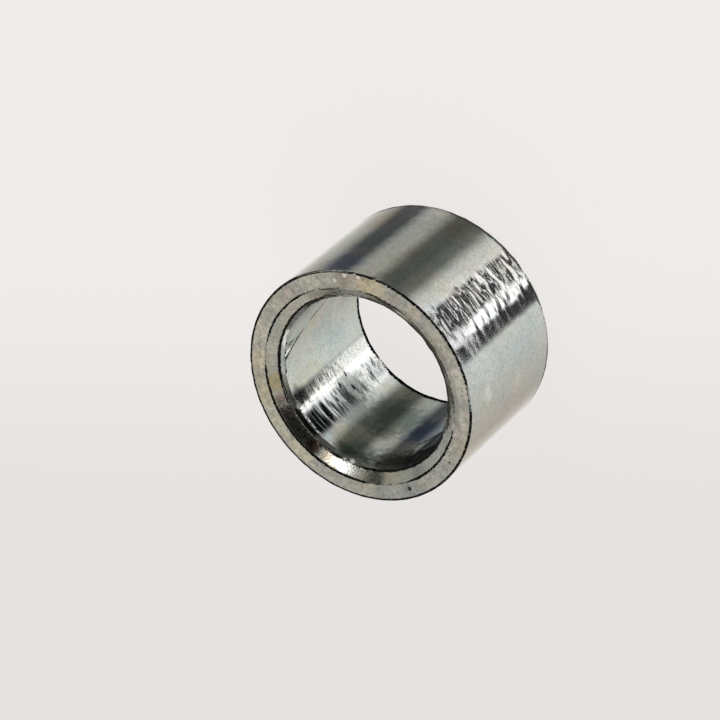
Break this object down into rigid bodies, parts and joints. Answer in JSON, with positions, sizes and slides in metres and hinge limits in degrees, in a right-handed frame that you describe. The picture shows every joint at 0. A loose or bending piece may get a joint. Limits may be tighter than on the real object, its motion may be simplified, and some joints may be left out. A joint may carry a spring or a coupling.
{
  "type": "spacer sleeve",
  "caption": "Short thick-walled metal tube with flat ends and a countersunk bore, clamped around a bolt as a spacer.",
  "frame": {"origin": "centre of the bottom end face, on the axis of the bore", "axes": "+Z along the bore, towards the countersunk end; X and Y are free, as the sleeve is round"},
  "size_m": [0.017, 0.017, 0.011],
  "materials": {
    "zinc_plated_steel": "turned steel, zinc plated, matte end faces and a brighter wall"
  },
  "bodies": {
    "root": {"spacer_sleeve": "zinc_plated_steel"}
  },
  "joints": []
}
